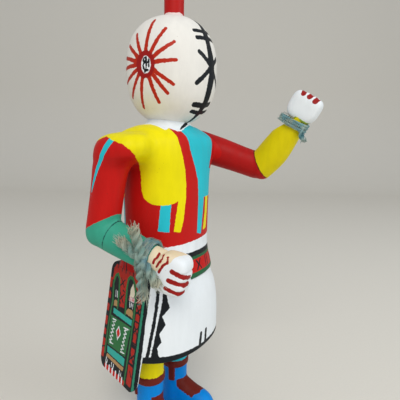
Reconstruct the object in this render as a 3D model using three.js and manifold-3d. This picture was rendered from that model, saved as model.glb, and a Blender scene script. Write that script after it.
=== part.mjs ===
// A carved and painted wooden kachina doll: one standing figure with a ball-shaped mask, a red peg on
// its crown, glued-on arms and a yarn tie round each wrist.
// Millimetres, +Z up. The figure faces -Y, its right side is -X and its soles stand on Z = 0.
// Everything is drawn about the upright axis of the legs. The last lines move the whole figure so that
// the origin is under the middle of its bounding box.

import * as THREE from 'three';
import { mergeVertices } from 'three/addons/utils/BufferGeometryUtils.js';
import Module from 'manifold-3d';

const wasm = await Module();
wasm.setup();

// ---------------------------------------------------------------- driving dimensions

const GAP = 0.3;                 // clearance between glued pieces
const RIGHT = -1;                // sign of X on the figure's right side
const LEFT = 1;

const HEAD = { x: 0.2, y: -4.3, z: 245.7, halfWidth: 29.2, halfHeight: 33.4, boxy: 2.4 };
const NECK = { y: -2, radius: 13.6, bottom: 203, top: 216 };
const PEG = { x: 0.8, y: -5.5, radius: 6.3, height: 26.9, seatDepth: 1.4, bevel: 1.2 };

// Levels of the trunk: height, half width, half depth, centre Y and how boxy it is (2 is an ellipse).
const KILT = [
  [66, 43.2, 33.2, 0, 2.2],
  [80, 43.4, 33.1, 0, 2.2],
  [90, 43.0, 32.7, 0, 2.2],
  [99, 41.6, 31.7, 0, 2.2],
  [105, 39.9, 30.4, 0, 2.2],
  [110, 37.6, 28.7, 0, 2.2],
  [113, 36.8, 28.1, 0, 2.2],
];
const BELT = [
  [114, 38.0, 29.0, -0.1, 2.2],
  [120, 36.2, 27.6, -0.4, 2.2],
  [126, 34.2, 26.0, -0.7, 2.2],
];
const CHEST = [
  [136, 32.9, 25.0, -1.1, 2.2],
  [150, 32.4, 24.7, -1.5, 2.25],
  [170, 32.4, 24.5, -1.6, 2.4],
  [184, 33.2, 24.0, -1.6, 2.7],
  [190, 36.6, 24, -1.2, 3],
  [198, 37.8, 23.9, -0.9, 3.2],
  [203.6, 37.6, 22.6, -1, 3.2],
  [207.6, 35, 18.2, -1.8, 2.8],
  [210.4, 28, 15.6, -1.9, 2.4],
  [214, 15, 13.8, -2, 2],
];
const TRUNK = [...KILT, ...BELT, ...CHEST];
const SHOULDER_FACE = 34;        // the arms are glued on flat faces at this distance from the middle
const ARMPIT = 160;              // the waist below this level has no flat face

// The sash panel on the right hip: a flat slab, its face turned outwards and a little back.
const SASH = {
  corner: [-39.7, -12.8],        // outer front edge at height `level`
  level: 110,
  turn: 69.2,                    // direction of its width, degrees from +X
  flare: 9,                      // the lower end stands out by this angle
  width: 46,
  bottom: 48,
  top: 121,
  cornerRadius: 7,
  thickBottom: 2.8,
  thickTop: 7,
};

// The legs are round; the cuff of the moccasin is a wider band, a little higher on the right leg.
const LEG = { spread: 16, y: 2.3, radius: 9.4, bottom: 3, top: 70 };
const CUFF = { right: 40.4, left: 36, halfHeight: 2.3, proud: 1.1, edge: 0.6 };
// Sections of one moccasin from the toe to the heel: centre Y, height of the top, half width.
const FOOT = [
  [-31.2, 6.5, 2.6],
  [-30.4, 9.6, 5.2],
  [-28.4, 12.6, 7.4],
  [-25, 15.6, 9],
  [-20, 17.5, 9.6],
  [-14, 19.4, 9.7],
  [-9, 22, 9.6],
  [-4, 24.4, 9.5],
  [5, 24, 9.3],
  [10, 20, 7.2],
  [12.4, 12, 3.4],
];
const FOOT_EDGE = { rise: 1.4, inset: 0.7 };   // the small bevel round the sole
const FLAP = { width: 4.4, length: 12.5, thickness: 1.1, rightTurn: 226, leftTurn: 162 };

// The right upper arm hangs from the shoulder: height, centre X and Y, half widths, how boxy it is.
const RIGHT_UPPER_ARM = [
  [138.8, -47.4, 13.4, 4, 4.2, 2],
  [140.8, -47.4, 13.7, 7, 7.2, 2],
  [144, -47.3, 13.9, 9, 9.2, 2],
  [149, -47, 13.5, 9.9, 10.1, 2],
  [158, -46.7, 12.1, 9.7, 9.8, 2.1],
  [170, -46.3, 10.1, 9.6, 9.8, 2.1],
  [180, -46, 8.4, 9.8, 10.2, 2.1],
  [186, -45.4, 7, 10.4, 11.2, 2.1],
  [189.6, -44.2, 4.6, 11.8, 13.2, 2.2],
  [193, -42.6, 1.8, 14.2, 16.2, 2.4],
  [197.4, -41.2, 0.2, 15.4, 17, 2.5],
  [201.8, -40.2, -0.4, 14.2, 15.8, 2.5],
  [204.8, -38.8, -0.8, 10.8, 12.4, 2.4],
  [206.4, -37, -1.2, 5.4, 6.6, 2.2],
];
// The other limbs: points on the centre line with the half widths of the section, across and front to
// back. The left arm reaches forward out of a rounded cap.
const RIGHT_ARM = {
  lower: [
    [-46.9, 12, 148, 9.8, 10.6],
    [-46.3, 2, 143.8, 9.3, 9.8],
    [-45.2, -12, 138.6, 8.5, 8.8],
    [-44.4, -21, 135.2, 8, 8.2],
    [-43.8, -27, 133, 8, 8.4],
  ],
  seam: { at: [-46.6, 5.4, 145.4], normal: [0.04, -0.93, -0.36], top: 165 },
  wrist: [-44.4, -20.8, 135.3],
  hand: { at: [-43.3, -33.8, 129.2], along: [0.1, -0.98, -0.17], size: [10.2, 11.8, 8] },
};
const LEFT_ARM = {
  cap: { at: [36.5, -1.4, 197.4], size: [14, 14.6, 11.4] },
  upper: [
    [38, -4, 199.4, 10.6, 11.4],
    [43, -20, 194.4, 10, 10.8],
    [48.6, -36, 188.8, 9.6, 10],
    [51.4, -46, 185.4, 9.5, 9.8],
  ],
  lower: [
    [51.6, -48, 184.4, 9.8, 10.2],
    [51.6, -57.2, 194.4, 9.8, 10.8],
    [51.3, -66.8, 207.6, 8.8, 9.4],
    [51, -72.2, 216.2, 7.8, 8.2],
    [51, -74.6, 220.2, 7.8, 8],
  ],
  seam: { at: [48, -50.8, 183.8], normal: [0, -0.904, 0.427], top: 250 },
  wrist: [51, -71.8, 216],
  hand: { at: [51, -78.6, 225.6], along: [0, -0.5, 0.866], size: [10, 10.9, 7.8] },
};
const CAP_POWER = 2.5;
const HAND_POWER = 3.6;
const HAND_TAPER = 0.24;         // share by which the hand narrows to the wrist
const FINGERS = 4;

// Yarn ties: a band of wraps, a knot and short loose ends, each from the knot to its own tip.
const YARN = {
  band: [[-3.9, 0], [3.9, 0], [3.9, 1.4], [3.2, 2.7], [1.9, 2.7], [1.3, 1.9], [0.6, 2.9], [-0.6, 2.9],
    [-1.3, 1.9], [-1.9, 2.7], [-3.2, 2.7], [-3.9, 1.4]],     // its section: along the wrist, outwards
  knot: 3.4,
};
const RIGHT_YARN = {
  knot: [-54.2, -18.2, 133.4],
  ends: [
    { tip: [-55.5, -6, 152.5], side: 3.4 },
    { tip: [-57.6, 0.5, 144.2], side: 3.6 },
    { tip: [-56.4, -19.5, 112.6], side: 3.4 },
    { tip: [-54.2, -28, 117.5], side: 3.3 },
  ],
};
const LEFT_YARN = {
  knot: [46.4, -79.2, 209.2],
  ends: [{ tip: [46, -80.6, 200.4], side: 1.5 }],
};

const SIDES = { head: 30, trunk: 34, leg: 20, limb: 16, hand: 18, yarn: 6 };

const COLOURS = {
  body: 0xe4e2d8,
  red_topknot: 0xa81410,
  right_upper_arm: 0xb5160f,
  right_forearm: 0x2f9c84,
  left_upper_arm: 0xb5160f,
  left_forearm: 0xd8c400,
  right_wrist_yarn: 0x6f8a86,
  left_wrist_yarn: 0x4f7f80,
};

// ---------------------------------------------------------------- solids

const vec = (list) => new THREE.Vector3(list[0], list[1], list[2]);

/** A BufferGeometry from points and triangles, turned so that its faces point out. */
function closedGeometry(points, triangles) {
  let volume = 0;
  for (const [a, b, c] of triangles) {
    volume += points[a].dot(new THREE.Vector3().crossVectors(points[b], points[c]));
  }
  const index = volume < 0 ? triangles.map(([a, b, c]) => [a, c, b]) : triangles;
  const geometry = new THREE.BufferGeometry();
  geometry.setAttribute('position', new THREE.Float32BufferAttribute(points.flatMap((p) => p.toArray()), 3));
  geometry.setIndex(index.flat());
  return geometry;
}

/** A closed body through rings of equal count, its two ends closed by fans. */
function loft(rings) {
  const count = rings[0].length;
  const points = rings.flat();
  const triangles = [];
  for (let r = 0; r + 1 < rings.length; r++) {
    for (let k = 0; k < count; k++) {
      const a = r * count + k;
      const b = r * count + ((k + 1) % count);
      triangles.push([a, b, b + count], [a, b + count, a + count]);
    }
  }
  for (const [ring, flip] of [[0, true], [rings.length - 1, false]]) {
    const centre = new THREE.Vector3();
    rings[ring].forEach((p) => centre.addScaledVector(p, 1 / count));
    points.push(centre);
    for (let k = 0; k < count; k++) {
      const a = ring * count + k;
      const b = ring * count + ((k + 1) % count);
      triangles.push(flip ? [b, a, points.length - 1] : [a, b, points.length - 1]);
    }
  }
  return closedGeometry(points, triangles);
}

/** A closed geometry as a Manifold solid. */
function solid(geometry) {
  const plain = geometry.clone();
  plain.deleteAttribute('normal');
  plain.deleteAttribute('uv');
  const merged = mergeVertices(plain, 1e-4);
  return new wasm.Manifold(new wasm.Mesh({
    numProp: 3,
    vertProperties: new Float32Array(merged.attributes.position.array),
    triVerts: new Uint32Array(merged.index.array),
  }));
}

/** A Manifold solid as a BufferGeometry. */
function geometryOf(manifold) {
  const mesh = manifold.getMesh();
  const geometry = new THREE.BufferGeometry();
  const points = [];
  for (let v = 0; v < mesh.vertProperties.length; v += mesh.numProp) {
    points.push(mesh.vertProperties[v], mesh.vertProperties[v + 1], mesh.vertProperties[v + 2]);
  }
  geometry.setAttribute('position', new THREE.Float32BufferAttribute(points, 3));
  geometry.setIndex(Array.from(mesh.triVerts));
  return geometry;
}

const union = (solids) => solids.reduce((whole, next) => whole.add(next));

/** A value of a superellipse's unit curve: cos or sin, raised to keep the sign. */
const power = (value, n) => Math.sign(value) * Math.abs(value) ** (2 / n);

/** A level ring of a superellipse. */
function levelRing(x, y, z, halfWidth, halfDepth, n, count) {
  return Array.from({ length: count }, (_, k) => {
    const t = (2 * Math.PI * k) / count;
    return new THREE.Vector3(x + halfWidth * power(Math.cos(t), n), y + halfDepth * power(Math.sin(t), n), z);
  });
}

/** An ellipsoid, its poles on its local Z; more than 2 makes it boxier. */
function ellipsoid(at, size, around, rows, boxy = 2) {
  const geometry = new THREE.SphereGeometry(1, around, rows);
  geometry.rotateX(Math.PI / 2);
  const place = geometry.attributes.position;
  for (let v = 0; v < place.count; v++) {
    const p = new THREE.Vector3().fromBufferAttribute(place, v);
    const reach = p.toArray().reduce((sum, c) => sum + Math.abs(c) ** boxy, 0) ** (1 / boxy);
    place.setXYZ(v, p.x / reach, p.y / reach, p.z / reach);
  }
  geometry.scale(size[0], size[1], size[2]);
  geometry.translate(at[0], at[1], at[2]);
  return solid(geometry);
}

/**
 * A rounded limb along stations [x, y, z, half across, half front to back]. Its sections stand square
 * to the centre line, `across` gives the direction of their first half width, and both ends are domed.
 */
function limb(stations, across, sides, grow = 0, perStation = 2) {
  const curve = new THREE.CatmullRomCurve3(stations.map(vec), false, 'centripetal');
  const steps = perStation * (stations.length - 1);
  const dome = [-75, -40];
  const rise = 0.8;
  const rings = [];
  const section = (t, along, scale) => {
    const tangent = curve.getTangent(t);
    const first = across.clone().addScaledVector(tangent, -across.dot(tangent)).normalize();
    const second = new THREE.Vector3().crossVectors(tangent, first);
    const place = t * (stations.length - 1);
    const k = Math.min(Math.floor(place), stations.length - 2);
    const half = [3, 4].map((c) => THREE.MathUtils.lerp(stations[k][c], stations[k + 1][c], place - k) + grow);
    const centre = curve.getPoint(t).addScaledVector(tangent, along * rise * half[1]);
    rings.push(Array.from({ length: sides }, (_, s) => {
      const a = (2 * Math.PI * s) / sides;
      return centre.clone()
        .addScaledVector(first, scale * half[0] * Math.cos(a))
        .addScaledVector(second, scale * half[1] * Math.sin(a));
    }));
  };
  const radians = THREE.MathUtils.degToRad;
  dome.forEach((d) => section(0, Math.sin(radians(d)), Math.cos(radians(d))));
  for (let s = 0; s <= steps; s++) {
    section(s / steps, 0, 1);
  }
  dome.toReversed().forEach((d) => section(1, -Math.sin(radians(d)), Math.cos(radians(d))));
  return solid(loft(rings));
}

/** The part of a solid on the far side of a plane, along the plane's normal. */
function beyond(body, at, normal) {
  const direction = vec(normal).normalize();
  return body.trimByPlane(direction.toArray(), vec(at).dot(direction));
}

// ---------------------------------------------------------------- the carved body

/** The ball of the head: round in plan and a little boxy in profile. */
function head() {
  const rows = SIDES.head / 2;
  const polar = THREE.MathUtils.degToRad(86);
  const rings = Array.from({ length: rows }, (_, k) => {
    const t = THREE.MathUtils.lerp(-polar, polar, k / (rows - 1));
    const radius = HEAD.halfWidth * power(Math.cos(t), HEAD.boxy);
    const z = HEAD.z + HEAD.halfHeight * power(Math.sin(t), HEAD.boxy);
    return levelRing(HEAD.x, HEAD.y, z, radius, radius, 2, SIDES.head);
  });
  return solid(loft(rings));
}

const crown = HEAD.z + HEAD.halfHeight;

/** A straight round bar between two heights. */
function bar(x, y, radius, bottom, top, sides) {
  const geometry = new THREE.CylinderGeometry(radius, radius, top - bottom, sides);
  geometry.rotateX(Math.PI / 2);
  geometry.translate(x, y, (top + bottom) / 2);
  return solid(geometry);
}

function trunk() {
  const whole = solid(loft(TRUNK.map(([z, halfWidth, halfDepth, y, boxy]) =>
    levelRing(0, y, z, halfWidth, halfDepth, boxy, SIDES.trunk))));
  const lower = beyond(whole, [0, 0, ARMPIT], [0, 0, -1]);
  const upper = [RIGHT, LEFT].reduce(
    (chest, side) => beyond(chest, [side * SHOULDER_FACE, 0, 0], [-side, 0, 0]),
    beyond(whole, [0, 0, ARMPIT], [0, 0, 1]),
  );
  return lower.add(upper);
}

/** A slab with the sash panel's outline, from `inner(z)` to `outer(z)` outside its face. */
function sashSlab(inner, outer) {
  const turn = THREE.MathUtils.degToRad(SASH.turn);
  const along = new THREE.Vector2(Math.cos(turn), Math.sin(turn));
  const outward = new THREE.Vector2(-Math.sin(turn), Math.cos(turn));
  const outline = new THREE.Shape();
  const { width: w, bottom: b, top: t, cornerRadius: r } = SASH;
  outline.moveTo(r, b);
  outline.lineTo(w - r, b);
  outline.absarc(w - r, b + r, r, -Math.PI / 2, 0);
  outline.lineTo(w, t - r);
  outline.absarc(w - r, t - r, r, 0, Math.PI / 2);
  outline.lineTo(r, t);
  outline.absarc(r, t - r, r, Math.PI / 2, Math.PI);
  outline.lineTo(0, b + r);
  outline.absarc(r, b + r, r, Math.PI, 1.5 * Math.PI);
  const flare = Math.tan(THREE.MathUtils.degToRad(SASH.flare));
  const rings = [inner, outer].map((offset) => outline.getPoints(5).slice(0, -1).map(({ x: u, y: z }) => {
    const out = (SASH.level - z) * flare + offset(z);
    return new THREE.Vector3(
      SASH.corner[0] + along.x * u + outward.x * out,
      SASH.corner[1] + along.y * u + outward.y * out,
      z,
    );
  }));
  return solid(loft(rings));
}

function sashThickness(z) {
  const share = (z - SASH.bottom) / (SASH.top - SASH.bottom);
  return THREE.MathUtils.lerp(SASH.thickBottom, SASH.thickTop, share);
}

/** A leg with its raised cuff and the moccasin, and the loose end of the cuff's tie. */
function leg(side) {
  const x = side * LEG.spread;
  const cuff = side === RIGHT ? CUFF.right : CUFF.left;
  const profile = [
    [LEG.bottom, 0],
    [cuff - CUFF.halfHeight - CUFF.edge, 0],
    [cuff - CUFF.halfHeight, CUFF.proud],
    [cuff + CUFF.halfHeight, CUFF.proud],
    [cuff + CUFF.halfHeight + CUFF.edge, 0],
    [LEG.top, 0],
  ];
  const shaft = profile.map(([z, out]) =>
    levelRing(x, LEG.y, z, LEG.radius + out, LEG.radius + out, 2, SIDES.leg));
  const steps = SIDES.leg / 2;
  const moccasin = FOOT.map(([y, top, half]) => {
    const upper = Array.from({ length: steps + 1 }, (_, k) => {
      const t = (Math.PI * k) / steps;
      const z = FOOT_EDGE.rise + (top - FOOT_EDGE.rise) * power(Math.sin(t), 2);
      return new THREE.Vector3(x + half * power(Math.cos(t), 2.2), y, z);
    });
    const sole = [-1, 1].map((edge) => new THREE.Vector3(x + edge * (half - FOOT_EDGE.inset), y, 0));
    return [...upper, ...sole];
  });
  const turn = THREE.MathUtils.degToRad(side === RIGHT ? FLAP.rightTurn : FLAP.leftTurn);
  const flap = new THREE.BoxGeometry(2 * FLAP.thickness, FLAP.width, FLAP.length);
  flap.rotateZ(-turn);
  flap.translate(
    x + LEG.radius * Math.cos(turn),
    LEG.y - LEG.radius * Math.sin(turn),
    cuff - FLAP.length / 2,
  );
  return union([solid(loft(shaft)), solid(loft(moccasin)), solid(flap)]);
}

function body() {
  const slab = sashSlab((z) => -sashThickness(z), () => 0);
  const room = sashSlab(() => 0, () => 3 * SASH.thickTop);
  const figure = union([
    trunk().subtract(room),
    slab,
    bar(0, NECK.y, NECK.radius, NECK.bottom, NECK.top, SIDES.leg),
    head(),
    leg(RIGHT),
    leg(LEFT),
  ]);
  const seat = bar(PEG.x, PEG.y, PEG.radius + GAP, crown - PEG.seatDepth, crown + 1, SIDES.leg);
  return figure.subtract(seat);
}

function topknot() {
  const bottom = crown - PEG.seatDepth + GAP;
  const profile = [
    [0, bottom],
    [PEG.radius, bottom],
    [PEG.radius, crown + PEG.height - PEG.bevel],
    [PEG.radius - PEG.bevel, crown + PEG.height - 0.3],
    [0, crown + PEG.height],
  ];
  const geometry = new THREE.LatheGeometry(profile.map(([r, z]) => new THREE.Vector2(r, z)), SIDES.leg);
  geometry.rotateX(Math.PI / 2);
  geometry.translate(PEG.x, PEG.y, 0);
  return solid(geometry);
}

// ---------------------------------------------------------------- arms

/** A fist: a rounded block with a groove between each two fingers, wrapped over its far end. */
function fist({ at, along, size }) {
  const distal = vec(along).normalize();
  const thick = new THREE.Vector3(1, 0, 0).addScaledVector(distal, -distal.x).normalize();
  const wide = new THREE.Vector3().crossVectors(thick, distal);
  const place = (l, w, t) => vec(at).addScaledVector(distal, l).addScaledVector(wide, w).addScaledVector(thick, t);
  const [halfLength, halfWidth, halfThick] = size;
  const rows = [-88, -70, -50, -28, -6, 16, 38, 58, 76, 88];
  const rings = rows.map((row) => {
    const r = THREE.MathUtils.degToRad(row);
    const spread = power(Math.cos(r), HAND_POWER);
    const taper = 1 - HAND_TAPER * Math.max(0, -Math.sin(r));
    return Array.from({ length: SIDES.hand }, (_, k) => {
      const a = (2 * Math.PI * (k + 0.5)) / SIDES.hand;
      const w = halfWidth * taper * spread * power(Math.cos(a), HAND_POWER);
      const t = halfThick * spread * power(Math.sin(a), HAND_POWER);
      return place(halfLength * power(Math.sin(r), HAND_POWER), w, t);
    });
  });
  const grooves = Array.from({ length: FINGERS - 1 }, (_, k) => {
    const w = halfWidth * (0.5 - 0.46 * k) - 0.4;
    const blade = [[halfLength - 7, 0], [halfLength + 3, 1.5], [halfLength + 3, -1.5]];
    const sides = [-1, 1].map((s) => blade.map(([l, open]) => place(l, w + open * 0.42, s * (halfThick + 2))));
    return solid(loft(sides));
  });
  return grooves.reduce((block, groove) => block.subtract(groove), solid(loft(rings)));
}

const ACROSS = new THREE.Vector3(1, 0, 0);

/** Both limbs of an arm in one, without its hand. */
function limbs(arm, grow = 0) {
  const lower = limb(arm.lower, ACROSS, SIDES.limb, grow);
  if (arm.upper) return lower.add(limb(arm.upper, ACROSS, SIDES.limb, grow));
  return lower.add(solid(loft(RIGHT_UPPER_ARM.map(([z, x, y, halfWidth, halfDepth, boxy]) =>
    levelRing(x, y, z, halfWidth + grow, halfDepth + grow, boxy, SIDES.limb + 4)))));
}

/** Both pieces of an arm, parted at the elbow's glue line and cut flat at the shoulder. */
function armPieces(arm, side) {
  const { at, normal, top } = arm.seam;
  const backward = vec(normal).normalize().negate();
  const near = vec(at).addScaledVector(backward, GAP).toArray();
  const whole = limbs(arm);
  const above = beyond(whole, [0, 0, top], [0, 0, 1]);
  const below = beyond(whole, [0, 0, top], [0, 0, -1]);
  const cap = arm.cap ? [ellipsoid(arm.cap.at, arm.cap.size, SIDES.limb, SIDES.limb / 2, CAP_POWER)] : [];
  const upper = union([above, beyond(below, near, backward.toArray()), ...cap]);
  return {
    upper: beyond(upper, [side * (SHOULDER_FACE + GAP), 0, 0], [side, 0, 0]),
    lower: beyond(below, at, normal).add(fist(arm.hand)),
  };
}

// ---------------------------------------------------------------- yarn

/** A yarn tie: a band of three wraps, a knot and the loose ends, clear of the arm under it. */
function yarn({ knot, ends }, arm) {
  const axis = vec(arm.hand.along).normalize();
  const [across, deep] = arm.lower[3].slice(3).map((half) => half + 2 * GAP);
  const first = ACROSS.clone().addScaledVector(axis, -axis.x).normalize();
  const second = new THREE.Vector3().crossVectors(axis, first);
  const band = Array.from({ length: SIDES.limb }, (_, k) => {
    const a = (2 * Math.PI * k) / SIDES.limb;
    return YARN.band.map(([shift, out]) => vec(arm.wrist).addScaledVector(axis, shift)
      .addScaledVector(first, (across + out) * Math.cos(a))
      .addScaledVector(second, (deep + out) * Math.sin(a)));
  });
  const pieces = [solid(hoop(band))];
  pieces.push(ellipsoid(knot, [YARN.knot, YARN.knot, YARN.knot], SIDES.yarn, SIDES.yarn - 2));
  for (const { tip, side } of ends) {
    const reach = vec(tip).sub(vec(knot));
    const stations = [0, 0.45, 0.8, 1].map((t, k) => {
      const half = side * [0.6, 1, 0.95, 0.7][k];
      return [...vec(knot).addScaledVector(reach, t).toArray(), half, half];
    });
    const sideways = Math.abs(reach.clone().normalize().x) > 0.8 ? new THREE.Vector3(0, 1, 0) : ACROSS;
    pieces.push(limb(stations, sideways, SIDES.yarn, 0, 1));
  }
  const hand = fist({ ...arm.hand, size: arm.hand.size.map((half) => half + GAP) });
  return union(pieces).subtract(limbs(arm, GAP)).subtract(hand);
}

/** A ring-shaped body through closed rings set round a circle. */
function hoop(rings) {
  const count = rings[0].length;
  const triangles = [];
  for (let r = 0; r < rings.length; r++) {
    for (let k = 0; k < count; k++) {
      const next = (r + 1) % rings.length;
      const a = r * count + k;
      const b = r * count + ((k + 1) % count);
      const c = next * count + ((k + 1) % count);
      const d = next * count + k;
      triangles.push([a, b, c], [a, c, d]);
    }
  }
  return closedGeometry(rings.flat(), triangles);
}

// ---------------------------------------------------------------- the figure

const rightArm = armPieces(RIGHT_ARM, RIGHT);
const leftArm = armPieces(LEFT_ARM, LEFT);
const solids = {
  body: body(),
  red_topknot: topknot(),
  right_upper_arm: rightArm.upper,
  right_forearm: rightArm.lower,
  left_upper_arm: leftArm.upper,
  left_forearm: leftArm.lower,
  right_wrist_yarn: yarn(RIGHT_YARN, RIGHT_ARM),
  left_wrist_yarn: yarn(LEFT_YARN, LEFT_ARM),
};

const figure = new THREE.Group();
const bounds = new THREE.Box3();
for (const [name, shape] of Object.entries(solids)) {
  const roughness = name.endsWith('yarn') ? 0.95 : 0.45;
  const material = new THREE.MeshStandardMaterial({ color: COLOURS[name], roughness, metalness: 0 });
  const mesh = new THREE.Mesh(geometryOf(shape), material);
  mesh.name = name;
  figure.add(mesh);
  bounds.union(new THREE.Box3().setFromObject(mesh));
}
const middle = bounds.getCenter(new THREE.Vector3());
figure.position.set(-middle.x, -middle.y, -bounds.min.z);

export default figure;
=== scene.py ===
"""A carved and painted wooden kachina doll, dressed round its CAD frame.

The figure is drawn in its own millimetres: it faces -Y, its right side is -X, the soles stand on Z = 0
and the upright axis of the legs is the origin. `place` moves points into the frame, in metres.
Paint is laid on as layers: each layer has one colour and, at every vertex, the distance in millimetres
to the edge of the painted shape, negative inside. The materials turn these distances into crisp edges.
"""
import math

import bpy
import numpy as np
from mathutils import Matrix, Vector


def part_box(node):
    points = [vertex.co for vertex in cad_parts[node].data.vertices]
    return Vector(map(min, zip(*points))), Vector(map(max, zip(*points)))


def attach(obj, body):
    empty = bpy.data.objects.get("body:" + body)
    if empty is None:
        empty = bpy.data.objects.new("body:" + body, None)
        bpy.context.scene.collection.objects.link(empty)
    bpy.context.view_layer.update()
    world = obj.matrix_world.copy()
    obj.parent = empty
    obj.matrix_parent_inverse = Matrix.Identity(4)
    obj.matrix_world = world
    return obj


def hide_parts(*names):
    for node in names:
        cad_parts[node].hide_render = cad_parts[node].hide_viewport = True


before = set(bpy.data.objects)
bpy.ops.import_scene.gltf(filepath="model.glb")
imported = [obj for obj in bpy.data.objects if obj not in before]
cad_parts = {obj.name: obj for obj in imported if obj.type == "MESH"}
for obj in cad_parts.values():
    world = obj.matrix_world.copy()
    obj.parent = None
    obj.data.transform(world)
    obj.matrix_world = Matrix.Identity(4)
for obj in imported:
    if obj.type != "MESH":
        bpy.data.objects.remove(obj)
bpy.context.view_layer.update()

MM = 0.001
rng = np.random.default_rng(7)

# ---- sizes, in millimetres

HEAD = {"at": np.array([0.2, -4.3, 245.7]), "half": np.array([29.2, 29.2, 33.4]), "boxy": 2.4}
PEG = {"at": np.array([0.8, -5.5]), "radius": 6.3, "height": 26.9, "seat": 1.1, "crown": 279.1}
SHOULDER = {"face": 34.3, "lowest": 126}

# Levels of the trunk: height, half width, half depth, centre Y, boxiness (2 is an ellipse).
KILT = [
    [66, 43.2, 33.2, 0, 2.2],
    [80, 43.4, 33.1, 0, 2.2],
    [90, 43, 32.7, 0, 2.2],
    [99, 41.6, 31.7, 0, 2.2],
    [105, 39.9, 30.4, 0, 2.2],
    [110, 37.6, 28.7, 0, 2.2],
    [113.4, 36.7, 28, 0, 2.2],
]
CHEST = [
    [113.6, 38, 29, -0.1, 2.2],
    [120, 36.2, 27.6, -0.4, 2.2],
    [126, 34.2, 26, -0.7, 2.2],
    [136, 32.9, 25, -1.1, 2.2],
    [150, 32.4, 24.7, -1.5, 2.25],
    [170, 32.4, 24.5, -1.6, 2.4],
    [184, 33.2, 24, -1.6, 2.7],
    [190, 36.6, 24, -1.2, 3],
    [198, 37.8, 23.9, -0.9, 3.2],
    [203.6, 37.6, 22.6, -1, 3.2],
    [207.6, 35, 18.2, -1.8, 2.8],
    [210.4, 28, 15.6, -1.9, 2.4],
    [214, 15, 13.8, -2, 2],
    [220, 13.4, 13.4, -2, 2],
]
SASH = {
    "corner": np.array([-39.7, -12.8]),
    "level": 110,
    "turn": math.radians(69.2),
    "flare": math.tan(math.radians(9)),
    "width": 46,
    "bottom": 48,
    "top": 121,
    "radius": 7,
    "thick": (2.8, 7),
}
LEG = {"spread": 16, "y": 2.3, "radius": 9.4}
CUFF = {-1: 40.4, 1: 36}
FLAP = {"length": 12.5, "width": 4.4, "thickness": 1.1, "turn": {-1: 226, 1: 162}}
FOOT = [
    [-31.2, 6.5, 2.6],
    [-30.4, 9.6, 5.2],
    [-28.4, 12.6, 7.4],
    [-25, 15.6, 9],
    [-20, 17.5, 9.6],
    [-14, 19.4, 9.7],
    [-9, 22, 9.6],
    [-4, 24.4, 9.5],
    [5, 24, 9.3],
    [10, 20, 7.2],
    [12.4, 12, 3.4],
]
# Limbs. The right upper arm: height, centre X and Y, half widths, boxiness. The others: points on the
# centre line with the half widths of the section, across and front to back.
RIGHT_UPPER = [
    [138.8, -47.4, 13.4, 4, 4.2, 2],
    [140.8, -47.4, 13.7, 7, 7.2, 2],
    [144, -47.3, 13.9, 9, 9.2, 2],
    [149, -47, 13.5, 9.9, 10.1, 2],
    [158, -46.7, 12.1, 9.7, 9.8, 2.1],
    [170, -46.3, 10.1, 9.6, 9.8, 2.1],
    [180, -46, 8.4, 9.8, 10.2, 2.1],
    [186, -45.4, 7, 10.4, 11.2, 2.1],
    [189.6, -44.2, 4.6, 11.8, 13.2, 2.2],
    [193, -42.6, 1.8, 14.2, 16.2, 2.4],
    [197.4, -41.2, 0.2, 15.4, 17, 2.5],
    [201.8, -40.2, -0.4, 14.2, 15.8, 2.5],
    [204.8, -38.8, -0.8, 10.8, 12.4, 2.4],
    [206.4, -37, -1.2, 5.4, 6.6, 2.2],
]
RIGHT_ARM = {
    "lower": [
        [-46.9, 12, 148, 9.8, 10.6],
        [-46.3, 2, 143.8, 9.3, 9.8],
        [-45.2, -12, 138.6, 8.5, 8.8],
        [-44.4, -21, 135.2, 8, 8.2],
        [-43.8, -27, 133, 8, 8.4],
    ],
    "seam": ([-46.6, 5.4, 145.4], [0.04, -0.93, -0.36]),
    "wrist": [-44.4, -20.8, 135.3],
    "hand": ([-43.3, -33.8, 129.2], [0.1, -0.98, -0.17], [10.2, 11.8, 8]),
    "gaps": (-3.4, 1.6, 7),
    "groove": 0.8,
}
LEFT_ARM = {
    "cap": ([36.5, -1.4, 197.4], [14, 14.6, 11.4]),
    "upper": [
        [38, -4, 199.4, 10.6, 11.4],
        [43, -20, 194.4, 10, 10.8],
        [48.6, -36, 188.8, 9.6, 10],
        [51.4, -46, 185.4, 9.5, 9.8],
    ],
    "lower": [
        [51.6, -48, 184.4, 9.8, 10.2],
        [51.6, -57.2, 194.4, 9.8, 10.8],
        [51.3, -66.8, 207.6, 8.8, 9.4],
        [51, -72.2, 216.2, 7.8, 8.2],
        [51, -74.6, 220.2, 7.8, 8],
    ],
    "seam": ([48, -50.8, 183.8], [0, -0.904, 0.427]),
    "wrist": [51, -71.8, 216],
    "hand": ([51, -78.6, 225.6], [0, -0.5, 0.866], [9.8, 10.6, 7.8]),
    "gaps": (-4.1, 1.1, 6),
    "groove": 0.4,
}
RIGHT_YARN = {
    "knot": [-54.2, -21.1, 136.8],
    "ends": [[-54.6, -15.6, 155.6], [-56.3, -6.4, 147.6], [-55, -22.8, 114.4], [-52.8, -31.6, 123]],
    "turns": (4, -5.4, 1.6),
    "ply": (1.3, 1.25, 16),
    "fuzz": (340, 320),
}
LEFT_YARN = {
    "knot": [46.2, -78.4, 211],
    "ends": [[46, -81.4, 202.4]],
    "turns": (3, -2.6, 2.4),
    "ply": (0.8, 0.7, 9),
    "fuzz": (110, 50),
}

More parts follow.
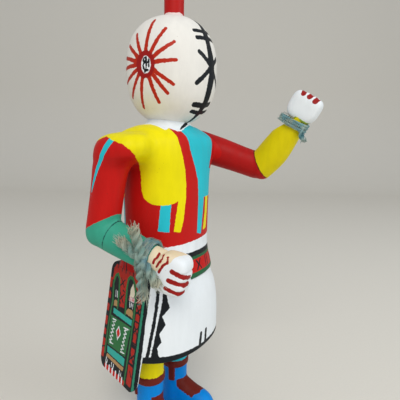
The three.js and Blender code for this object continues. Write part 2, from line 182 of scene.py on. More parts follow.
RED = (192, 20, 16)
DEEP_RED = (150, 24, 20)
BROWN_RED = (112, 34, 24)
YELLOW = (236, 220, 0)
TURQUOISE = (40, 190, 204)
SEA_GREEN = (58, 158, 132)
BLUE = (0, 134, 219)
WHITE = (232, 236, 238)
BLACK = (22, 26, 30)
GREEN = (34, 96, 60)
TAN = (176, 138, 92)
HAND_CREAM = (232, 214, 182)
MASK_WHITE = (228, 224, 216)
RAY_RED = (178, 40, 16)
LEFT_ARM_RED = (176, 20, 18)
LEFT_ARM_YELLOW = (220, 202, 0)
YELLOW_SMEAR = (170, 190, 70)
SEA_GREEN_CRACK = (30, 84, 76)
RED_CRACK = (70, 16, 14)
YELLOW_CRACK = (120, 60, 20)
PEG_RED = (178, 24, 20)
PEG_FOOT = (236, 214, 210)
SASH_RED = (178, 36, 22)
SASH_GREEN = (44, 112, 62)
SASH_EDGE = (44, 140, 110)
SASH_TURQUOISE = (50, 172, 158)
FRINGE_RED = (200, 30, 20)
FEATHER_CREAM = (228, 218, 194)
DIRT = (70, 45, 30)
PAPER = (226, 221, 210)
RIGHT_WOOL = [(122, 150, 142), (140, 160, 150), (98, 134, 142), (190, 184, 160)]
LEFT_WOOL = [(118, 156, 160), (150, 168, 160), (44, 104, 116), (160, 174, 166)]

peg_low, peg_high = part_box("red_topknot")
AXIS = np.array([
    (peg_low.x + peg_high.x) / 2 - PEG["at"][0] * MM,
    (peg_low.y + peg_high.y) / 2 - PEG["at"][1] * MM,
    0,
])


def place(points):
    return np.asarray(points, float) * MM + AXIS


def unit(vectors):
    """A vector, or each row of an array of them, at length 1."""
    vectors = np.asarray(vectors, float)
    return vectors / np.linalg.norm(vectors, axis=-1, keepdims=True)


def square_to(direction):
    """Two directions square to each given one, the first as near to X as can be."""
    first = unit([1.0, 0, 0] - direction * direction[..., :1])
    return first, np.cross(direction, first)


# ---- curves and closed shapes


def power(value, n):
    """cos or sin raised for a superellipse, keeping its sign."""
    return np.sign(value) * np.abs(value) ** (2 / n)


def glide(x, xs, ys):
    """Monotone cubic interpolation of the columns of ys over xs."""
    xs, ys = np.asarray(xs, float), np.asarray(ys, float)
    step = np.diff(xs)[:, None]
    slope = np.diff(ys, axis=0) / step
    same = slope[:-1] * slope[1:] > 0
    before, after = 2 * step[1:] + step[:-1], step[1:] + 2 * step[:-1]
    blend = before / np.where(same, slope[:-1], 1) + after / np.where(same, slope[1:], 1)
    tangent = np.vstack([slope[:1], np.where(same, (before + after) / blend, 0), slope[-1:]])
    k = np.clip(np.searchsorted(xs, x, side="right") - 1, 0, len(step) - 1)
    t = ((x - xs[k]) / step[k, 0])[:, None]
    value = (1 + 2 * t) * (1 - t) ** 2 * ys[k] + t * t * (3 - 2 * t) * ys[k + 1]
    return value + step[k] * (t * (1 - t) ** 2 * tangent[k] + t * t * (t - 1) * tangent[k + 1])


def dense(table, spacing, columns):
    """Rows of a table, evenly spaced along the line that its `columns` draw."""
    rows = np.array(table, float)
    run = np.cumsum(np.linalg.norm(np.diff(rows[:, columns], axis=0), axis=1))
    run = np.concatenate([[0], run])
    return glide(np.linspace(0, run[-1], int(run[-1] / spacing) + 2), run, rows)


def level_ring(x, y, z, half_width, half_depth, boxy, around):
    """A level superellipse. It starts at the front centre and runs toward the right side."""
    t = -math.pi / 2 - 2 * math.pi * np.arange(around) / around
    ring = [x + half_width * power(np.cos(t), boxy), y + half_depth * power(np.sin(t), boxy)]
    return np.stack([*ring, np.full(around, float(z))], axis=1)


def skin(rings):
    """(points, faces) of a closed body through rings of equal count, its ends closed by fans."""
    rings = np.asarray(rings)
    levels, around = rings.shape[:2]
    points = np.vstack([rings.reshape(-1, 3), rings[0].mean(0), rings[-1].mean(0)])
    k = np.arange(around)
    following = (k + 1) % around
    faces = []
    for level in range(levels - 1):
        a, b = level * around, (level + 1) * around
        faces += np.stack([a + k, a + following, b + following, b + k], axis=1).tolist()
    last, ends = (levels - 1) * around, len(points)
    faces += np.stack([following, k, np.full(around, ends - 2)], axis=1).tolist()
    faces += np.stack([last + k, last + following, np.full(around, ends - 1)], axis=1).tolist()
    return points, faces


def limb(stations, spacing=0.8, around=64):
    """A rounded limb along stations, its ends domed."""
    rows = dense(stations, spacing, [0, 1, 2])
    tangent = unit(np.gradient(rows[:, :3], axis=0))
    first, second = square_to(tangent)
    a = 2 * math.pi * np.arange(around) / around

    def section(k, rise, scale):
        centre = rows[k, :3] + tangent[k] * rise * rows[k, 4]
        across = np.outer(np.cos(a) * rows[k, 3] * scale, first[k])
        return centre + across + np.outer(np.sin(a) * rows[k, 4] * scale, second[k])

    dome = np.radians([-86, -70, -54, -38, -20])
    rings = [section(0, 0.8 * math.sin(d), math.cos(d)) for d in dome]
    rings += [section(k, 0, 1) for k in range(len(rows))]
    rings += [section(-1, -0.8 * math.sin(d), math.cos(d)) for d in dome[::-1]]
    return skin(rings)


def ball(centre, half, around, rows, boxy=2, plan=None):
    """A superellipsoid with its poles on Z; `plan` is the boxiness seen from above, if it differs."""
    lat = np.radians(np.linspace(-89.5, 89.5, rows))
    lon = 2 * math.pi * np.arange(around) / around
    rays = np.stack([
        np.outer(np.cos(lat), np.cos(lon)),
        np.outer(np.cos(lat), np.sin(lon)),
        np.outer(np.sin(lat), np.ones(around)),
    ], axis=2)
    plan = plan or boxy
    flat = (np.abs(rays[..., :2]) ** plan).sum(2) ** (boxy / plan)
    reach = (flat + np.abs(rays[..., 2]) ** boxy) ** (1 / boxy)
    return skin(rays / reach[..., None] * half + centre)


def stack(parts):
    """Several (points, faces) as one."""
    points, faces, shift = [], [], 0
    for part_points, part_faces in parts:
        points.append(part_points)
        faces += [[v + shift for v in face] for face in part_faces]
        shift += len(part_points)
    return np.vstack(points), faces


def smooth_mesh(name, points, faces):
    mesh = bpy.data.meshes.new(name)
    mesh.from_pydata(np.asarray(points).tolist(), [], faces)
    mesh.polygons.foreach_set("use_smooth", [True] * len(mesh.polygons))
    return mesh


def in_scene(name, data):
    """A new object that stands in the scene."""
    thing = bpy.data.objects.new(name, data)
    bpy.context.scene.collection.objects.link(thing)
    return thing


def helper(points, faces):
    return in_scene("helper", smooth_mesh("helper", points, faces))


def shape_of(thing):
    """(points, faces) of a helper with its modifiers."""
    evaluated = thing.evaluated_get(bpy.context.evaluated_depsgraph_get())
    mesh = evaluated.to_mesh()
    points = np.zeros(len(mesh.vertices) * 3)
    mesh.vertices.foreach_get("co", points)
    faces = [list(face.vertices) for face in mesh.polygons]
    evaluated.to_mesh_clear()
    return points.reshape(-1, 3), faces


def discard(*things):
    for thing in things:
        mesh = thing.data
        bpy.data.objects.remove(thing)
        bpy.data.meshes.remove(mesh)


def fuse(parts, voxel):
    """One closed skin round overlapping bodies."""
    thing = helper(*stack(parts))
    remesh = thing.modifiers.new("fuse", "REMESH")
    remesh.mode = "VOXEL"
    remesh.voxel_size = voxel
    result = shape_of(thing)
    discard(thing)
    return result


def box_shape(centre, half, normal=(0, 0, 1)):
    """A box whose third half size lies along `normal`."""
    turn = Vector(normal).to_track_quat("Z", "Y").to_matrix()
    corners = [Vector((i, j, k)) for k in (-1, 1) for j in (-1, 1) for i in (-1, 1)]
    points = [Vector(centre) + turn @ Vector(c * h for c, h in zip(corner, half)) for corner in corners]
    faces = [[0, 2, 3, 1], [4, 5, 7, 6], [0, 1, 5, 4], [2, 6, 7, 3], [0, 4, 6, 2], [1, 3, 7, 5]]
    return np.array(points), faces


def carve(shape, cutter, keep):
    """`shape` inside ("INTERSECT") or outside ("DIFFERENCE") a closed cutter."""
    thing, tool = helper(*shape), helper(*cutter)
    boolean = thing.modifiers.new("carve", "BOOLEAN")
    boolean.solver = "MANIFOLD"
    boolean.operation = keep
    boolean.object = tool
    result = shape_of(thing)
    discard(thing, tool)
    return result


def largest(shape):
    """The largest connected part of a shape."""
    points, faces = shape
    pairs = np.array([(face[0], v) for face in faces for v in face[1:]])
    label, before = np.arange(len(points)), None
    while before is None or (label != before).any():
        before = label.copy()
        low = np.minimum(label[pairs[:, 0]], label[pairs[:, 1]])
        np.minimum.at(label, pairs[:, 0], low)
        np.minimum.at(label, pairs[:, 1], low)
        label = label[label]
    keep = label == np.bincount(label).argmax()
    number = (np.cumsum(keep) - 1).tolist()
    return points[keep], [[number[v] for v in face] for face in faces if keep[face[0]]]


def relax(shape, weight, rounds):
    """Smooths a shape where `weight`, even or one for each point, is above 0."""
    points, faces = shape
    weight = np.broadcast_to(weight, len(points))[:, None]
    edges = np.array([[f[k], f[(k + 1) % len(f)]] for f in faces for k in range(len(f))])
    count = len(points)
    links = np.bincount(edges[:, 0], minlength=count)[:, None]
    for _ in range(rounds):
        mean = np.stack([
            np.bincount(edges[:, 0], points[edges[:, 1], axis], minlength=count) for axis in range(3)
        ], axis=1) / links
        points = points + (mean - points) * weight
    return points, faces


def ripple(points, size, height):
    """A gentle unevenness of a hand-carved face: `height` mm over distances of about `size` mm."""
    total = np.zeros(len(points))
    for _ in range(7):
        direction = rng.normal(size=3)
        direction *= rng.uniform(0.6, 1.5) / np.linalg.norm(direction)
        total += np.sin(points @ direction * 2 * math.pi / size + rng.uniform(0, 6.3))
    return total * height / 7


# ---- painted shapes


def stroke(points, line, half):
    """Distance to a brush stroke along `line`; `half` is its half width, even or one for each point."""
    line = np.asarray(line, float)
    half = np.broadcast_to(np.asarray(half, float), len(line))
    best = np.full(len(points), 1e3)
    for a, b, start, end in zip(line[:-1], line[1:], half[:-1], half[1:]):
        along = b - a
        t = np.clip((points - a) @ along / max(along @ along, 1e-9), 0, 1)
        away = np.linalg.norm(points - a - t[:, None] * along, axis=1)
        best = np.minimum(best, away - start - (end - start) * t)
    return best


def patch(chart, outline):
    """Distance to the edge of a flat outline, negative inside."""
    outline = np.asarray(outline, float)
    following = np.roll(outline, -1, axis=0)
    edge = stroke(chart, np.vstack([outline, outline[:1]]), 0)
    inside = np.zeros(len(chart), bool)
    for (ax, ay), (bx, by) in zip(outline, following):
        if ay == by:
            continue
        crosses = (chart[:, 1] < ay) != (chart[:, 1] < by)
        inside ^= crosses & (chart[:, 0] < ax + (chart[:, 1] - ay) * (bx - ax) / (by - ay))
    return np.where(inside, -edge, edge)


def block(chart, left, right, bottom, top):
    return patch(chart, [(left, bottom), (right, bottom), (right, top), (left, top)])


def band(height, bottom, top):
    return np.maximum(bottom - height, height - top)


def all_of(shapes):
    return np.minimum.reduce(list(shapes))


# ---- materials


class Nodes:
    """A short way to write a material's node tree."""

    def __init__(self, name):
        self.material = bpy.data.materials.new(name)
        self.material.use_nodes = True
        self.tree = self.material.node_tree
        self.shader = self.tree.nodes["Principled BSDF"]

    def add(self, kind, inputs=(), **settings):
        node = self.tree.nodes.new(kind)
        for key, value in settings.items():
            setattr(node, key, value)
        for key, value in dict(inputs).items():
            self.set(node.inputs[key], value)
        return node.outputs

    def set(self, socket, value):
        if isinstance(value, bpy.types.NodeSocket):
            self.tree.links.new(value, socket)
        else:
            socket.default_value = value

    def math(self, operation, a, b=0.0):
        return self.add("ShaderNodeMath", {0: a, 1: b}, operation=operation)[0]

    def ramp(self, value, low, high, start=0.0, end=1.0, kind="SMOOTHSTEP"):
        inputs = {"Value": value, "From Min": low, "From Max": high, "To Min": start, "To Max": end}
        return self.add("ShaderNodeMapRange", inputs, interpolation_type=kind)[0]

    def mix(self, factor, a, b, blend="MIX"):
        inputs = {0: factor, 6: a, 7: b}
        return self.add("ShaderNodeMix", inputs, data_type="RGBA", blend_type=blend)[2]

    def noise(self, scale, detail=3.0, stretch=None):
        where = self.add("ShaderNodeTexCoord")["Object"]
        if stretch:
            where = self.add("ShaderNodeMapping", {"Vector": where, "Scale": stretch})[0]
        inputs = {"Vector": where, "Scale": scale, "Detail": detail, "Roughness": 0.55}
        return self.add("ShaderNodeTexNoise", inputs)[0]


def linear(colour):
    """An sRGB colour, 0 to 255, as a linear one."""
    share = [c / 255 for c in colour]
    return (*[c / 12.92 if c <= 0.04045 else ((c + 0.055) / 1.055) ** 2.4 for c in share], 1)


def paint_material(name, base, colours, wear):
    """Layers of brushed acrylic over carved wood; `wear` is the strength of dirt and thin places."""
    n = Nodes(name)
    wobble = n.ramp(n.noise(620, 2.0), 0.3, 0.7, -0.22, 0.22, "LINEAR")
    colour, height = linear(base), 0.0
    for k, layer in enumerate(colours):
        distance = n.add("ShaderNodeAttribute", attribute_name=f"paint_{k}")["Fac"]
        inside = n.ramp(n.math("ADD", distance, wobble), -0.14, 0.14, 1.0, 0.0)
        colour = n.mix(inside, colour, linear(layer))
        height = n.math("MAXIMUM", n.math("MULTIPLY", height, 0.6), inside)
    brush = n.noise(260, 4.0, (1.0, 1.0, 0.25))
    cloud = n.noise(38, 3.0)
    shade = n.math(
        "MULTIPLY",
        n.ramp(brush, 0.3, 0.7, 1 - 0.05 * wear, 1 + 0.03 * wear),
        n.ramp(cloud, 0.3, 0.7, 1 - 0.05 * wear, 1 + 0.02 * wear),
    )
    shade_colour = n.add("ShaderNodeCombineXYZ", {0: shade, 1: shade, 2: shade})[0]
    colour = n.mix(1.0, colour, shade_colour, "MULTIPLY")
    speck = n.ramp(n.noise(900, 1.0), 0.74, 0.775, 0.0, 0.5 * wear)
    colour = n.mix(n.math("MULTIPLY", speck, n.ramp(cloud, 0.5, 0.62)), colour, linear(DIRT))
    n.set(n.shader.inputs["Base Color"], colour)
    n.set(n.shader.inputs["Roughness"], n.ramp(brush, 0.3, 0.7, 0.4, 0.55))
    n.set(n.shader.inputs["Specular IOR Level"], 0.14)
    relief = n.math("ADD", n.math("MULTIPLY", height, 0.35), brush)
    bump = n.add("ShaderNodeBump", {"Height": relief, "Strength": 0.3, "Distance": 0.00022})[0]
    n.set(n.shader.inputs["Normal"], bump)
    return n.material


def make_piece(name, shape, node, material):
    """A finished object in the frame that stands for a CAD node."""
    points, faces = shape
    mesh = smooth_mesh(name, place(points), faces)
    mesh.validate()
    mesh.set_sharp_from_angle(angle=math.radians(48))
    mesh.materials.append(material)
    piece = in_scene(name, mesh)
    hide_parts(node)
    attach(piece, "root")
    return piece


def vertex_values(piece, name, values):
    layer = piece.data.attributes.new(name, "FLOAT", "POINT")
    layer.data.foreach_set("value", np.asarray(values, np.float32))


def painted(name, shape, node, base, layers, wear=1.0):
    """A piece and its layers of paint, the last on top."""
    material = paint_material(f"{name}_paint", base, [colour for colour, _ in layers], wear)
    piece = make_piece(name, shape, node, material)
    for k, (_, distance) in enumerate(layers):
        vertex_values(piece, f"paint_{k}", distance)


# ---- the head


def out_to_head(rays):
    """Rays from the head's centre, measured in its half sizes, drawn out to its surface."""
    boxy = HEAD["boxy"]
    reach = (np.hypot(rays[:, 0], rays[:, 1]) ** boxy + np.abs(rays[:, 2]) ** boxy) ** (1 / boxy)
    return rays / reach[:, None] * HEAD["half"] + HEAD["at"]


def on_head(angles):
    """Points of the head; the azimuth runs from the front toward the figure's right side."""
    azimuth, elevation = np.radians(np.asarray(angles, float)).T
    flat = -np.cos(elevation)
    return out_to_head(np.stack([np.sin(azimuth) * flat, np.cos(azimuth) * flat, np.sin(elevation)], axis=1))


def head_line(corners, half, steps=8):
    """A brush stroke over the head: (points, half widths) along corners given as azimuth and elevation."""
    corners = np.asarray(corners, float)
    half = np.broadcast_to(np.asarray(half, float), len(corners))
    share = np.linspace(0, 1, steps, endpoint=False)[:, None]
    points, widths = [], []
    for k, (a, b) in enumerate(zip(on_head(corners[:-1]), on_head(corners[1:]))):
        points.append(out_to_head((a + (b - a) * share - HEAD["at"]) / HEAD["half"]))
        widths.append(half[k] + (half[k + 1] - half[k]) * share[:, 0])
    return np.vstack([*points, on_head(corners[-1:])]), np.append(np.concatenate(widths), half[-1])


# The sun on the side of the head: its azimuth, how far out its rays start, and their tips clockwise from
# the top, as azimuth and elevation.
SUN_AZIMUTH = 88.5
RAY_START = 10
RAYS = [
    (86, 48), (65, 34), (54, 20.2), (52, 3.2), (54.7, -19.8), (61.5, -28.5), (74.3, -37.8),
    (105.7, -43), (123, -30.5), (131, -14.7), (136, 0.3), (135, 11.6), (124, 22.6), (110, 32.3),
]
# The painted line down the face, from the crown to the neck: azimuth, elevation, half width in mm.
FACE_LINE = [
    (14, 70, 0.6), (9, 62, 1.5), (0.5, 48, 2.6), (3.7, 33, 3), (4.3, 25, 2.5), (3.4, 16, 3), (0.5, 5, 3.7),
    (-1.5, -7, 3.7), (0.7, -17, 3.5), (1, -27, 3.2), (1, -37, 2.7), (2, -46, 2.1), (1, -57, 1.6),
    (-3, -65, 1.2), (-4, -74, 1),
]
# Short marks across that line, azimuth and elevation, and their half widths.
FACE_MARKS = [
    ([(25.4, 35.6), (10.4, 36.8), (-17, 39.4)], 1.3),
    ([(23.8, 27.9), (11.2, 29.2), (-15, 31)], 1.35),
    ([(22.4, -38.2), (-14.5, -35)], 1.75),
    ([(21.4, -46.8), (-21.6, -43.6)], 1.5),
    ([(2.1, 1.6), (22.4, 13.7)], 1.45),
    ([(2.1, 1.6), (25.4, -16.6)], 1.45),
    ([(2.1, 1.6), (-17, 13)], 1.45),
    ([(2.1, 1.6), (-28, -16.6)], 1.45),
]
# The small black sign in the middle of each ring, across and up from its centre.
SIGN = [
    [(-0.5, 3.6), (-0.7, -2.4)], [(-0.5, 3.4), (1.3, 3), (1.5, 1.8), (-0.4, 1.3)],
    [(-2.4, 2.6), (-2.5, -1.6)], [(-2.6, 0.7), (0.8, 0.5)], [(0.8, 0.5), (1.7, -0.9), (1.2, -1.9)],
    [(1.2, -2.6), (0.4, -4.6)],
]


def oval(chart, middle, half):
    """Distance to the edge of an upright ellipse."""
    return (np.linalg.norm((chart - middle) / half, axis=1) - 1) * min(half)


def sun(points):
    """The rayed ring on each side of the head: rays, ring, its white eye and the small sign in it."""
    rays = []
    for azimuth, rise in RAYS:
        share = RAY_START / np.hypot(azimuth - SUN_AZIMUTH, rise)
        start = SUN_AZIMUTH + (azimuth - SUN_AZIMUTH) * share
        for side in (1, -1):
            ray = [(start * side, rise * share), (azimuth * side, rise)]
            rays.append(stroke(points, *head_line(ray, (1.35, 1))))
    local = points - HEAD["at"]
    round_head = np.degrees(np.arctan2(np.abs(local[:, 0]), -local[:, 1])) - SUN_AZIMUTH
    chart = np.stack([np.radians(round_head) * HEAD["half"][0], local[:, 2]], axis=1)
    ring = oval(chart, (0.4, -0.3), (6.7, 7.8))
    eye = oval(chart, (-0.3, -0.5), (3.4, 4.8))
    sign = [stroke(chart, line, 0.55) for line in SIGN] + [oval(chart, (-0.5, -3.6), (1.7, 0.9))]
    return all_of(rays), ring, eye, np.maximum(all_of(sign), eye + 0.1)


def head():
    points, faces = ball(HEAD["at"], HEAD["half"], 320, 172, HEAD["boxy"], 2)
    outward = unit((points - HEAD["at"]) / HEAD["half"] ** 2)
    rays, ring, eye, sign = sun(points)
    face = np.array(FACE_LINE)
    lines = [stroke(points, *head_line(face[:, :2], face[:, 2]))]
    lines += [stroke(points, *head_line(corners, half)) for corners, half in FACE_MARKS]
    points = points + outward * (ripple(points, 34, 0.22) + ripple(points, 11, 0.06))[:, None]
    layers = [
        (RAY_RED, rays),
        (DEEP_RED, ring),
        (WHITE, eye),
        (BLACK, all_of([sign, *lines])),
    ]
    painted("figure_head", (points, faces), "body", MASK_WHITE, layers, wear=0.6)


# ---- the trunk


def trunk_chart(points, table):
    """(distance round from the front centre toward the right side, height) of points on the trunk."""
    rows = np.array(table, float)
    rows = rows[np.argsort(rows[:, 0])]
    levels = glide(np.clip(points[:, 2], rows[0, 0], rows[-1, 0]), rows[:, 0], rows)
    _, half_width, half_depth, centre, boxy = levels.T
    x, y = -points[:, 0] / half_width, -(points[:, 1] - centre) / half_depth
    angle = np.arctan2(power(x, 4 / boxy), power(y, 4 / boxy))
    steps = 48
    share = np.linspace(0, 1, steps + 1)[:, None] * np.abs(angle)
    line_x = half_width * power(np.sin(share), boxy)
    line_y = half_depth * power(np.cos(share), boxy)
    run = np.hypot(np.diff(line_x, axis=0), np.diff(line_y, axis=0)).sum(0)
    return np.stack([np.sign(angle) * run, points[:, 2]], axis=1)


def half_round(table, height):
    """Half the way round the trunk at a height."""
    back = np.array([[0.001, 100.0, height]])
    return abs(trunk_chart(back, table)[0, 0])


# The edge of the painted yoke on one side, seen square to the shoulder: across and up.
YOKE = [
    (-60, 205), (-45, 204.5), (-33, 203.6), (-29.5, 201.7), (-27.1, 200.7), (-23.3, 199.4), (-19.1, 196.5),
    (-16.8, 193.6), (-15.9, 189.9), (-15.4, 185.5), (-14.8, 180.7), (-14.7, 174.6), (-14.4, 171),
    (-13.2, 167.5), (-11.3, 165.4), (-8.3, 163.9), (-4.1, 163.1), (1.2, 163.2), (4.2, 163.9), (8, 165.5),
    (60, 165.5), (60, 240), (-60, 240),
]


def yoke(points, side):
    """Distance to the yoke on the figure's right (-1) or left (1) side, front and back."""
    depth = np.maximum(-points[:, 1], points[:, 1] - 9)
    across = -0.56 * side * points[:, 0] + 0.83 * depth
    return patch(np.stack([across, points[:, 2]], axis=1), YOKE)


# Levels round the waist: the belt's stripes from the hip up, then the white edge of the tunic.
BELT_FOOT, BELT_GREEN, BELT_RED = 114.3, (114.2, 117.6), (117.4, 125.6)
TOP_GREEN, TOP_BLACK, TUNIC_EDGE = (125.4, 127.6), (127.4, 131), (130, 138.4)
BELT_CROSSES = 9


def belt_signs(chart):
    """The crosses round the belt, with a pair of bars between each two."""
    s, z = chart.T
    repeat = 2 * half_round(CHEST, 120) / BELT_CROSSES
    local = np.stack([(s - 1.7 + repeat / 2) % repeat - repeat / 2, z], axis=1)
    shifted = np.stack([(s - 1.7) % repeat - repeat / 2, z], axis=1)
    crosses = [stroke(local, [(-2.6, 121.5 + t * 3), (2.6, 121.5 - t * 3)], 0.6) for t in (-1, 1)]
    bars = [stroke(shifted, [(t, 118), (t, 125.4)], 0.5) for t in (-1.6, 1.6)]
    return all_of(crosses + bars)


# Painted shapes of the chest: round the trunk toward its right side, and up.
CHEST_BARS = [
    (TURQUOISE, [(31.4, 166), (24.9, 166), (26, 146.3), (33, 147.2)]),
    (YELLOW, [
        (19.9, 168), (21.8, 155), (23, 146.6), (18.2, 145.5), (15.5, 154.4), (14.7, 162), (13.9, 168),
    ]),
    (TURQUOISE, [(1.3, 168), (2.5, 142.5), (-3.1, 141), (-7.3, 168)]),
    (YELLOW, [(-9.6, 168), (-8.8, 156), (-5.9, 142.9), (-11.6, 143.6), (-14, 156), (-15.2, 168)]),
]
NECK_LINE = [(1, -16, 215), (-0.5, -16, 213), (-5.6, -16.9, 211), (-11.5, -18.3, 208.9)]
CHEST_MIDDLE = [
    (21, 212), (20.8, 201.1), (17.8, 192.8), (15.3, 184.3), (14.2, 175.6), (14.4, 165.7), (15.8, 154.4),
    (17.2, 145.7), (17.2, 139), (2.5, 139), (2.5, 142.5), (1.3, 164.2), (1.6, 177.3), (5.1, 186.4),
    (10.3, 197.6), (13, 212),
]


def chest_layers(points):
    chart = trunk_chart(points, CHEST)
    s, z = chart.T
    # The front's painting is repeated on the back, folded over at the sides.
    flank = np.stack([np.full(len(z), -60.0), np.full(len(z), -1.2), z], axis=1)
    side = trunk_chart(flank, CHEST)[:, 0]
    folded = np.where(np.abs(s) > side, np.sign(s) * (2 * side - np.abs(s)), s)
    tunic = np.stack([folded, z], axis=1)
    split = np.interp(z, [160, 177, 186.4, 197.6, 212], [8, 8, 10, 15.5, 17]) - folded
    left_arm = folded - np.interp(z, [184, 189, 192, 200, 206], [-17, -18, -19.8, -23, -25])
    neck = np.interp(
        s,
        [-10.3, -3.2, 12.7, 16.5, 21, 25.9, 26.7, 28.6],
        [211.5, 212.4, 207.6, 207.7, 209.3, 207.9, 210, 211.6],
    )
    low, high = TUNIC_EDGE
    return [
        *[(colour, patch(tunic, outline)) for colour, outline in CHEST_BARS],
        (YELLOW, np.maximum(yoke(points, -1), split)),
        (TURQUOISE, np.maximum(yoke(points, 1), -split)),
        (RED, np.minimum(patch(tunic, CHEST_MIDDLE), np.maximum(left_arm, 184 - z))),
        (WHITE, np.minimum(neck - z, band(z, low, high - 0.05 * np.clip(s, -30, 30)))),
        (BLACK, np.minimum(band(z, *TOP_BLACK), z - BELT_FOOT)),
        (BLACK, stroke(points, NECK_LINE, (1.2, 1.1, 0.9, 0.3))),
        (GREEN, np.minimum(band(z, *TOP_GREEN), band(z, *BELT_GREEN))),
        (RED, band(z, *BELT_RED)),
        (BLACK, belt_signs(chart)),
    ]


# The scalloped border at the kilt's edge, round the trunk and up: its tips and notches, then its straight
# side. Beside it runs a thin line: its heights, and how far round it is at each.
TEETH = [
    (30.6, 111), (31.2, 107.5), (31.6, 104), (31.4, 100.7), (36.8, 96.3), (36.2, 93.6), (35.4, 90.8),
    (39.5, 85.7), (39.1, 83), (38.4, 80.3), (41.1, 76.7), (40.2, 70.8), (40.8, 66), (46.2, 66), (45, 71.5),
    (43.9, 77), (42.2, 84.4), (40.1, 92.6), (37.4, 99.9), (34.2, 107), (32.5, 111),
]
THIN_LINE = ([66, 72.6, 85.6, 94, 103, 110.5, 114], [48.2, 46.9, 44.2, 42, 39.1, 35.6, 33.8])
HEM_TOP = ([0, 9, 14, 31, 40], [69, 69, 69.6, 70.1, 70.6])


def kilt():
    rows = dense(KILT, 0.75, [0, 1])
    around = 320
    hem = [(66, 6), (66, 1.1), (66.1, 0.5), (66.5, 0.1)]
    _, half, deep, _, boxy = rows[0]
    rings = [level_ring(0, 0, z, half - inset, deep - inset, boxy, around) for z, inset in hem]
    rings += [level_ring(0, y, z, half, deep, boxy, around) for z, half, deep, y, boxy in rows[1:]]
    points, faces = behind_sash(skin(rings))
    chart = trunk_chart(points, KILT)
    s, z = chart.T
    # Four pairs of short bars stand on the hem.
    repeat = half_round(KILT, 68) / 2
    pair = np.stack([(s - 4.4 + repeat / 2) % repeat - repeat / 2, z], axis=1)
    bars = [stroke(pair, [(3.4 * t + 1, 66), (3.2 * t - 0.6, 76.4)], 1.45) for t in (-1, 1)]
    thin_line = np.abs(s - np.interp(z, *THIN_LINE)) - 1.05
    black = all_of([z - np.interp(s, *HEM_TOP), *bars, thin_line, patch(chart, TEETH)])
    painted("figure_kilt", (points, faces), "body", WHITE, [(BLACK, black)], wear=0.35)


# ---- the sash panel


def sash_axes():
    """The level directions along the sash's width and out of its face."""
    along = np.array([math.cos(SASH["turn"]), math.sin(SASH["turn"])])
    return along, np.array([-along[1], along[0]])


def sash_point(u, z, out):
    """A point of the sash: `u` along its width, `out` outside its outer face."""
    along, outward = sash_axes()
    reach = (SASH["level"] - z) * SASH["flare"] + out
    flat = SASH["corner"] + np.multiply.outer(u, along) + np.multiply.outer(reach, outward)
    return np.concatenate([flat, np.asarray(z, float)[..., None]], axis=-1)


def sash_chart(points):
    """(u, z, out) of points near the sash."""
    along, outward = sash_axes()
    flat = points[:, :2] - SASH["corner"]
    out = flat @ outward - (SASH["level"] - points[:, 2]) * SASH["flare"]
    return np.stack([flat @ along, points[:, 2], out], axis=1)


def behind_sash(shape):
    """The trunk is pared away where the sash covers it."""
    points, faces = shape
    u, z, out = sash_chart(points).T
    inside = np.maximum(band(u, 0.3, SASH["width"] - 0.3), band(z, SASH["bottom"], SASH["top"] - 0.3))
    covered = (inside < 0) & (out > -1)
    points[covered, :2] -= np.outer(out[covered] + 1, sash_axes()[1])
    return points, faces


def sash():
    """The panel through its level sections, with round corners and softened edges."""
    radius, width, bottom, top = (SASH[key] for key in ("radius", "width", "bottom", "top"))
    lip, spacing = 0.7, 0.36
    levels = np.arange(bottom, top + 0.2, spacing)
    levels[-1] = top
    outer, inner = np.linspace(0, 1, 132), np.linspace(1, 0, 60)
    bend = np.radians([60, 30, 0, -30, -60])
    rings = []
    for z in levels:
        into = max(bottom + radius - z, z - top + radius, 0)
        inset = radius - math.sqrt(max(radius ** 2 - into ** 2, 0))
        left, right = inset + lip, width - inset - lip
        half = np.interp(z, [bottom, top], SASH["thick"]) / 2
        shave = max(0, lip - min(z - bottom, top - z)) ** 2
        u = [left + (right - left) * outer, right + lip * np.cos(bend)]
        u += [left + (right - left) * inner, left - lip * np.cos(bend)]
        out = [np.full(len(outer), -shave), (half - shave) * np.sin(bend) - half]
        out += [np.full(len(inner), shave - 2 * half), (shave - half) * np.sin(bend) - half]
        u, out = np.concatenate(u), np.concatenate(out)
        rings.append(sash_point(u, np.full(len(u), z), out))
    shape = skin(rings)
    painted("figure_sash", shape, "body", BLACK, sash_layers(shape[0]))


# Painted shapes of the sash, along its width and up. Blocks: left, right, bottom, top.
SASH_REDS = [
    (6.4, 10.4, 106.5, 114), (4, 8.4, 97.4, 105.4), (4, 8.2, 92, 96.4), (4.2, 8, 84.4, 91),
    (4.6, 8, 77.6, 84), (4.6, 8.4, 68.6, 75), (5, 8.8, 65.6, 68.4), (4.2, 9.4, 51.5, 64),
    (42, 45.2, 102, 109), (42, 45.4, 94.6, 100), (42.2, 45.4, 86, 91), (42.2, 45.4, 76, 82.4),
    (42.2, 45.4, 69.4, 74), (41.6, 45.2, 54, 67),
]
SASH_TOP = [
    (42.2, 108), (41.6, 116), (38.5, 119.5), (13, 119.7), (9.6, 116.4), (9.8, 110.5), (23.5, 108),
    (23, 94.6), (28.8, 93.6), (31, 108),
]
